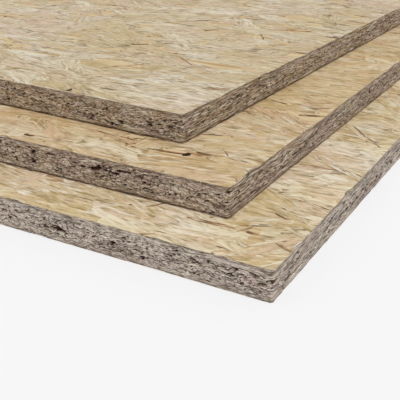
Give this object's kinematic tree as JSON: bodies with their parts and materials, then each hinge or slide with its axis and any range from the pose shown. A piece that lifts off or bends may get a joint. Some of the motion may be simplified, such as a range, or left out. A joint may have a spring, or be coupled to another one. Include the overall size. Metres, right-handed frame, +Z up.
{
  "type": "stack of osb panels",
  "caption": "Stack of square-edged oriented strand boards lying flat on each other, set back from the near corner step by step so that each board's face and edges show.",
  "frame": {"origin": "middle of the stack's box seen from above, on the underside of the bottom board", "axes": "+X along the bottom board's long edge, the way the face strands run, with the stepped near corner at the +X -Y end; +Y along its short edge; +Z up"},
  "size_m": [1.3112, 0.7324, 0.054],
  "materials": {
    "osb_bottom": "pressed wood strands, unsanded, sawn edges weathered grey",
    "osb_middle": "pressed wood strands, unsanded, sawn edges grey brown",
    "osb_top": "pressed wood strands, unsanded, sawn edges brown"
  },
  "bodies": {
    "root": {"panel_bottom": "osb_bottom", "panel_middle": "osb_middle", "panel_top": "osb_top"}
  },
  "joints": []
}
